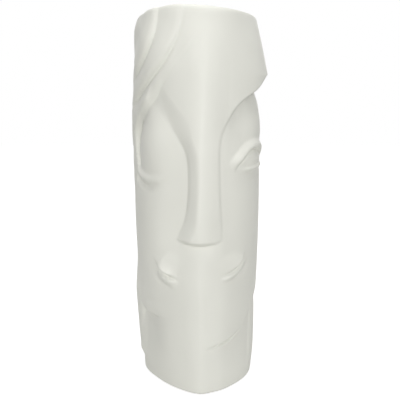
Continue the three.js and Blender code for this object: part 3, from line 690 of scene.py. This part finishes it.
def matt_ceramic():
    material, tree, shader = new_material("matt_ceramic_fired_and_rubbed")
    place = add(tree, "ShaderNodeTexCoord").outputs["Object"]
    broad = {"Scale": per_mm(KILN_DRIFT_MM), "Detail": 2}
    drift = add(tree, "ShaderNodeTexNoise", {"Vector": place}, broad)
    tone = add(tree, "ShaderNodeValToRGB", {"Fac": drift.outputs["Fac"]})
    darker, lighter = tone.color_ramp.elements
    darker.position, lighter.position = 0.3, 0.7
    darker.color, lighter.color = linear("#E5E5DD"), linear("#EAEAE2")
    height = add(tree, "ShaderNodeSeparateXYZ", {"Vector": place}).outputs["Z"]
    band = {"From Min": GROUND_FROM_MM * MM, "From Max": GROUND_TO_MM * MM}
    above = add(tree, "ShaderNodeMapRange", {"Value": height}, band).outputs["Result"]
    feeds = {"Factor": above, "B": tone.outputs["Color"]}
    ground = add(tree, "ShaderNodeMix", feeds, {"A": linear("#CFCDC4")}, data_type="RGBA")
    fine = {"Scale": per_mm(CLAY_GRAIN_MM), "Detail": 3}
    grain = add(tree, "ShaderNodeTexNoise", {"Vector": place}, fine)
    relief = {"Strength": 0.25, "Distance": GRAIN_DEPTH_MM * MM}
    bump = add(tree, "ShaderNodeBump", {"Height": grain.outputs["Fac"]}, relief)
    tree.links.new(ground.outputs["Result"], shader.inputs["Base Color"])
    tree.links.new(bump.outputs["Normal"], shader.inputs["Normal"])
    shader.inputs["Roughness"].default_value = 0.5
    shader.inputs["Specular IOR Level"].default_value = 0.4
    return material


MATT = matt_ceramic()
print("material:", MATT.name)

# %% [markdown]
# ## Pieces
# A piece is a mesh and an object that shows it. Every piece rides on the one body of the vase, stands
# in for its CAD solid and names the material slot it fills, so one helper says all three.

# %% New pieces
def new_piece(name, points, faces):
    mesh = bpy.data.meshes.new(name)
    mesh.from_pydata(points, [], faces)
    piece = bpy.data.objects.new(name, mesh)
    bpy.context.collection.objects.link(piece)
    return piece


def dress(piece, material, node):
    piece.data.materials.append(material)
    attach(piece, "root")
    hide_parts(node)
    print(piece.name, len(piece.data.polygons), "faces")


print("pieces to make: the body, the glaze and", len(PADS), "pads")

# %% [markdown]
# ## Building a pot from rings
# A pot is a stack of rings. One could spin a profile, but the relief makes every column different, so
# one helper joins rings into a closed mesh with a fan at each end and eases the shading except at true
# corners. Columns are closer in front, where the face is.

# %% Rings to mesh
FRONT_COLUMNS = np.arange(-100, 100, 0.9)
BACK_COLUMNS = np.arange(100, 260, 1.6)
COLUMNS = np.concatenate([FRONT_COLUMNS, BACK_COLUMNS])
BEARINGS = np.where(COLUMNS > 180, COLUMNS - 360, COLUMNS)
CORNER = radians(70)


def ring(radius, z):
    angle = np.radians(BEARINGS)
    radius, z = np.broadcast_to(radius, angle.shape), np.broadcast_to(z, angle.shape)
    return np.stack([radius * np.sin(angle), -radius * np.cos(angle), z], 1)


def pot_mesh(name, rings, start_z, end_z):
    count, n = len(BEARINGS), len(rings)
    points = np.vstack([*rings, [(0, 0, start_z), (0, 0, end_z)]]) * MM + np.array(AXIS)
    j = np.arange(count)
    k = (j + 1) % count
    rows = np.arange(n - 1)[:, None] * count
    quads = np.stack([rows + j, rows + k, rows + count + k, rows + count + j], -1).reshape(-1, 4)
    top, start, end = (n - 1) * count, n * count, n * count + 1
    fans = [(start, b, a) for a, b in zip(j, k)]
    fans += [(top + a, top + b, end) for a, b in zip(j, k)]
    piece = new_piece(name, points.tolist(), quads.tolist() + fans)
    piece.data.shade_smooth()
    piece.data.set_sharp_from_angle(angle=CORNER)
    return piece


print(len(BEARINGS), "columns round the pot")

# %% [markdown]
# ## The ceramic body
# Rings run from the recess under the foot, round the ground foot ring, up the modelled wall, over the
# lip and down the inside to the floor. A wet sponge rounds the lip: tall and soft in front, tighter
# towards the sides, and a plain quarter round inside.

# %% Inside and lip
INSIDE_ROWS, FILLET_STEPS = 60, 7
SIDE_LIP_POWER, FRONT_LIP_POWER = 5, 2
LIP_FRONT, LIP_FRONT_SPREAD = 5, 50


def arc(steps):
    angles = np.linspace(0, pi / 2, steps)
    return list(zip(np.cos(angles), np.sin(angles)))


def inside_rings(inset, top):
    fillet_z = FLOOR_Z + FLOOR_FILLET
    wall = [
        ring(inner_radius(BEARINGS, z) - inset, z + rim_lift(BEARINGS, z))
        for z in np.linspace(top, fillet_z, INSIDE_ROWS)
    ]
    base, radius = inner_radius(BEARINGS, fillet_z) - FLOOR_FILLET, FLOOR_FILLET - inset
    fillet = [ring(base + radius * out, fillet_z - radius * up) for out, up in arc(FILLET_STEPS)[1:]]
    return wall + fillet


def lip_ring(up):
    in_front = soft((BEARINGS - LIP_FRONT) / LIP_FRONT_SPREAD)
    power = mix(SIDE_LIP_POWER, FRONT_LIP_POWER, in_front)
    z = HEIGHT - LIP_TALL * (1 - up)
    back = LIP * (1 - (1 - up**power) ** (1 / power))
    return ring(outer_radius(BEARINGS, z) - back, z + rim_lift(BEARINGS, z))


print("lip", LIP, "mm deep and", LIP_TALL, "mm tall")

# %% [markdown]
# The wall has close rows, so that a groove of 2 mm still has a floor and two sides. The foot ring has
# a broken edge inside and a small round outside, so that it does not chip.

# %% Ceramic body
WALL_ROWS = 328
FOOT_STEPS, LIP_OUTER_STEPS, LIP_INNER_STEPS = 5, 13, 9
BROKEN_EDGE = 0.4
FIRST_INSIDE_ROW = 1


def foot_rings(wall_at_foot):
    recess = plan_radius(BEARINGS) - FOOT_WIDTH
    ground = [
        ring(recess, RECESS_Z),
        ring(recess, FOOT_Z + BROKEN_EDGE),
        ring(recess + BROKEN_EDGE, FOOT_Z),
    ]
    rounding = [
        ring(wall_at_foot - FOOT_ROUND + FOOT_ROUND * out, FOOT_Z + FOOT_ROUND - FOOT_ROUND * up)
        for out, up in reversed(arc(FOOT_STEPS)[1:])
    ]
    return ground + rounding


def ceramic_body():
    heights = np.linspace(FOOT_Z + FOOT_ROUND, HEIGHT - LIP_TALL, WALL_ROWS)
    wall = outer_radius(*np.meshgrid(BEARINGS, heights))
    outside = [ring(r, z + rim_lift(BEARINGS, z)) for r, z in zip(wall, heights)]
    over = [lip_ring(up) for _, up in arc(LIP_OUTER_STEPS)[1:]]
    lift, lip_z = rim_lift(BEARINGS, HEIGHT), HEIGHT - LIP
    inner = inner_radius(BEARINGS, lip_z)
    under = [
        ring(inner + LIP - LIP * out, lip_z + LIP * up + lift)
        for out, up in reversed(arc(LIP_INNER_STEPS))
    ]
    inside_wall = inside_rings(0, lip_z - FIRST_INSIDE_ROW)
    rings = foot_rings(wall[0]) + outside + over + under + inside_wall
    return pot_mesh("vase_body", rings, RECESS_Z, FLOOR_Z)


dress(ceramic_body(), MATT, "ceramic_body")

# %% [markdown]
# ## Glaze inside
# A clear glaze makes the inside hold water. It is poured in and swirled, so its edge below the lip
# wanders a little and ends in a rounded bead. Glossy and almost colourless, it shows the clay through.
# A see-through film could do that, but the clay's own colour under a clear coat looks the same.

# %% Glaze material
RIPPLE_MM, RIPPLE_DEPTH_MM = 9, 0.2


def clear_glaze():
    material, tree, shader = new_material("clear_glaze_poured_and_fired")
    place = add(tree, "ShaderNodeTexCoord").outputs["Object"]
    wave = {"Scale": per_mm(RIPPLE_MM), "Detail": 1}
    ripple = add(tree, "ShaderNodeTexNoise", {"Vector": place}, wave)
    relief = {"Strength": 0.3, "Distance": RIPPLE_DEPTH_MM * MM}
    bump = add(tree, "ShaderNodeBump", {"Height": ripple.outputs["Fac"]}, relief)
    tree.links.new(bump.outputs["Normal"], shader.inputs["Normal"])
    shader.inputs["Base Color"].default_value = linear("#EEEDE6")
    shader.inputs["Roughness"].default_value = 0.12
    shader.inputs["Coat Weight"].default_value = 0.6
    shader.inputs["Coat Roughness"].default_value = 0.04
    return material


GLOSSY = clear_glaze()
print("material:", GLOSSY.name)

# %% [markdown]
# The lining is a thin shell of its own that follows the inner wall and the floor. It keeps a hair's
# breadth off the clay, so that the two surfaces never flicker through each other.

# %% Glaze lining
GLAZE = 0.7
GLAZE_GAP = 0.3
GLAZE_EDGE_Z = HEIGHT - LIP - 5
GLAZE_EVEN_Z = HEIGHT - LIP - 8
BEAD_STEPS = 9


def glaze_lining():
    angle = np.radians(BEARINGS)
    wander = 0.7 * np.sin(3 * angle + 0.6) + 0.4 * np.sin(7 * angle) + 0.2 * np.sin(13 * angle + 2)
    edge = GLAZE_EDGE_Z + wander
    half = GLAZE / 2
    middle_radius = inner_radius(BEARINGS, edge) - GLAZE_GAP - half
    edge_z = edge + rim_lift(BEARINGS, edge)
    turns = np.linspace(0, pi, BEAD_STEPS)
    bead = [ring(middle_radius + half * cos(a), edge_z + half * sin(a)) for a in turns]
    outside = list(reversed(inside_rings(GLAZE_GAP, GLAZE_EVEN_Z)))
    inner = inside_rings(GLAZE_GAP + GLAZE, GLAZE_EVEN_Z)
    below = FLOOR_Z + GLAZE_GAP
    return pot_mesh("glaze_inside", outside + bead + inner, below, below + GLAZE)


dress(glaze_lining(), GLOSSY, "glaze_lining")

# %% [markdown]
# ## Felt pads
# Four discs punched from pressed wool felt keep the foot off the table. Felt is a mat of short hairs:
# it has no gloss, a pale fuzz at its edge and a mottled grey. The hairs are far finer than 0.5 mm, and
# they are drawn that coarse so that they show.

# %% Felt material
FELT_HAIR_MM, FELT_DEPTH_MM = 0.5, 0.3


def wool_felt():
    material, tree, shader = new_material("wool_felt_pressed")
    place = add(tree, "ShaderNodeTexCoord").outputs["Object"]
    mat = {"Scale": per_mm(FELT_HAIR_MM), "Detail": 4, "Distortion": 2}
    hair = add(tree, "ShaderNodeTexNoise", {"Vector": place}, mat)
    tone = add(tree, "ShaderNodeValToRGB", {"Fac": hair.outputs["Fac"]})
    darker, lighter = tone.color_ramp.elements
    darker.color, lighter.color = linear("#6E6A63"), linear("#A19C92")
    relief = {"Strength": 0.8, "Distance": FELT_DEPTH_MM * MM}
    bump = add(tree, "ShaderNodeBump", {"Height": hair.outputs["Fac"]}, relief)
    tree.links.new(tone.outputs["Color"], shader.inputs["Base Color"])
    tree.links.new(bump.outputs["Normal"], shader.inputs["Normal"])
    shader.inputs["Roughness"].default_value = 0.95
    shader.inputs["Sheen Weight"].default_value = 0.4
    return material


FELT = wool_felt()
print("material:", FELT.name)

# %% [markdown]
# The punch leaves a crisp rim that soon goes woolly, so the edge of each disc is rounded, drawn in a
# little and uneven. The profile gives shares of the pad's radius and thickness, from the middle of
# the underside round the rim to the middle of the top.

# %% Pads
PAD_SIDES = 48
FLAT_SHARE, FLAT_STEPS = 0.9, 8
WOOLLY_FROM, LUMPS_FROM = 0.95, 0.3
WOOLLY, DRAWN_IN, LUMP_SIZE = 0.12 * MM, 0.15 * MM, 1.5 * MM
LUMP_SHARE = 0.3
PAD_PROFILE = [
    *((r, 0) for r in np.linspace(0, FLAT_SHARE, FLAT_STEPS)),
    (0.97, 0.05), (1, 0.18), (1, 0.5), (1, 0.8), (0.97, 0.95),
    *((r, 1) for r in np.linspace(FLAT_SHARE, 0, FLAT_STEPS)),
]


def pad_points(low, high):
    centre, radius, thick = (low + high) / 2, (high.x - low.x) / 2, high.z - low.z
    for r, h in PAD_PROFILE:
        for angle in (tau * i / PAD_SIDES for i in range(PAD_SIDES)):
            out, up = r * radius, h * thick
            at = centre + Vector((out * sin(angle), -out * cos(angle), up))
            rough = WOOLLY * noise.noise(at / LUMP_SIZE)
            if r > WOOLLY_FROM:
                out += rough - DRAWN_IN
            if LUMPS_FROM < h < 1:
                up += LUMP_SHARE * rough
            yield centre.x + out * sin(angle), centre.y - out * cos(angle), low.z + up


def pad_faces():
    for row in range(len(PAD_PROFILE) - 1):
        a, b = row * PAD_SIDES, (row + 1) * PAD_SIDES
        for i in range(PAD_SIDES):
            k = (i + 1) % PAD_SIDES
            yield a + i, a + k, b + k, b + i


def felt_pad(node):
    piece = new_piece(node + "_wool", list(pad_points(*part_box(node))), list(pad_faces()))
    piece.data.shade_smooth()
    dress(piece, FELT, node)


for pad in PADS:
    felt_pad(pad)

# %% [markdown]
# ## Floor
# The vase stands on white paper that fades into a white room. The paper takes the shadow as paper
# does. A ray that looks at it straight or in a reflection also sees a little glow, which lifts the
# paper to white without any more light on the vase.

# %% Floor
PAPER_GLOW = 0.8
PAPER_REACH = 3


def looking_ray(tree):
    rays = add(tree, "ShaderNodeLightPath")
    looks = [rays.outputs[f"Is {kind} Ray"] for kind in ("Camera", "Glossy", "Transmission")]
    either = add(tree, "ShaderNodeMath", {0: looks[0], 1: looks[1]}, operation="MAXIMUM")
    some = add(tree, "ShaderNodeMath", {0: either.outputs[0], 1: looks[2]}, operation="MAXIMUM")
    return some.outputs[0]


def white_paper():
    material, tree, shader = new_material("white_paper_floor")
    shader.inputs["Base Color"].default_value = linear("#B9B9B6")
    shader.inputs["Roughness"].default_value = 0.9
    shader.inputs["Specular IOR Level"].default_value = 0.1
    glow = add(tree, "ShaderNodeMath", {0: looking_ray(tree)}, {1: PAPER_GLOW}, operation="MULTIPLY")
    shader.inputs["Emission Color"].default_value = linear("#FFFFFF")
    tree.links.new(glow.outputs[0], shader.inputs["Emission Strength"])
    return material


corners = [(x * PAPER_REACH, y * PAPER_REACH, 0) for x, y in ((-1, -1), (1, -1), (1, 1), (-1, 1))]
floor = new_piece("floor", corners, [(0, 1, 2, 3)])
floor.data.materials.append(white_paper())
print("floor", 2 * PAPER_REACH, "m wide")

# %% [markdown]
# ## Light
# A broad light in front, a little higher than the camera and to its right, draws the relief. A softer
# one overhead brightens what faces up, a weak one behind keeps the back alive, and the white room
# fills the rest. The camera itself sees plain white behind the vase.

# %% Lights
LIGHT_TARGET = Vector((0, 0, 0.15))


def area_light(name, place, size, watts):
    data = bpy.data.lights.new(name, "AREA")
    data.size, data.energy = size, watts
    light = bpy.data.objects.new(name, data)
    light.location = AXIS + Vector(place)
    light.rotation_euler = (LIGHT_TARGET - Vector(place)).to_track_quat("-Z", "Y").to_euler()
    bpy.context.collection.objects.link(light)
    print(name, watts, "W")


area_light("front_light", (0.08, -1.8, 0.32), size=0.83, watts=17.5)
area_light("top_light", (0, -0.1, 1.3), size=0.6, watts=5.8)
area_light("back_light", (0.5, 1.7, 0.5), size=0.8, watts=3)

# %% [markdown]
# The room is white all round. It lights the vase softly, and what looks at it sees full white.

# %% White room
ROOM_STRENGTH = 0.4


def white_room():
    world = bpy.data.worlds.new("white_room")
    world.use_nodes = True
    tree = world.node_tree
    room = tree.nodes["Background"]
    room.inputs["Color"].default_value = linear("#FFFFFF")
    room.inputs["Strength"].default_value = ROOM_STRENGTH
    seen = add(tree, "ShaderNodeBackground", sockets={"Color": linear("#FFFFFF"), "Strength": 1})
    feeds = {"Fac": looking_ray(tree), 1: room.outputs["Background"], 2: seen.outputs["Background"]}
    both = add(tree, "ShaderNodeMixShader", feeds)
    tree.links.new(both.outputs["Shader"], tree.nodes["World Output"].inputs["Surface"])
    return world


bpy.context.scene.world = white_room()
print("room strength", ROOM_STRENGTH)

# %% [markdown]
# ## Camera
# The photograph was taken from the height of the brow, looking slightly down. The place and the lens
# were fitted to the outline of the vase.

# %% Camera and view
SENSOR, LENS = 36, 45.77
CAMERA_PLACE = Vector((2.3, -435, 226.6))
CAMERA_TILT = 80.16

camera = bpy.data.objects.new("camera", bpy.data.cameras.new("camera"))
bpy.context.collection.objects.link(camera)
camera.data.sensor_width, camera.data.lens = SENSOR, LENS
camera.location = AXIS + CAMERA_PLACE * MM
camera.rotation_euler = (radians(CAMERA_TILT), 0, 0)
bpy.context.scene.camera = camera
bpy.context.scene.view_settings.view_transform = "Standard"
print("camera at", [round(v, 3) for v in camera.location])
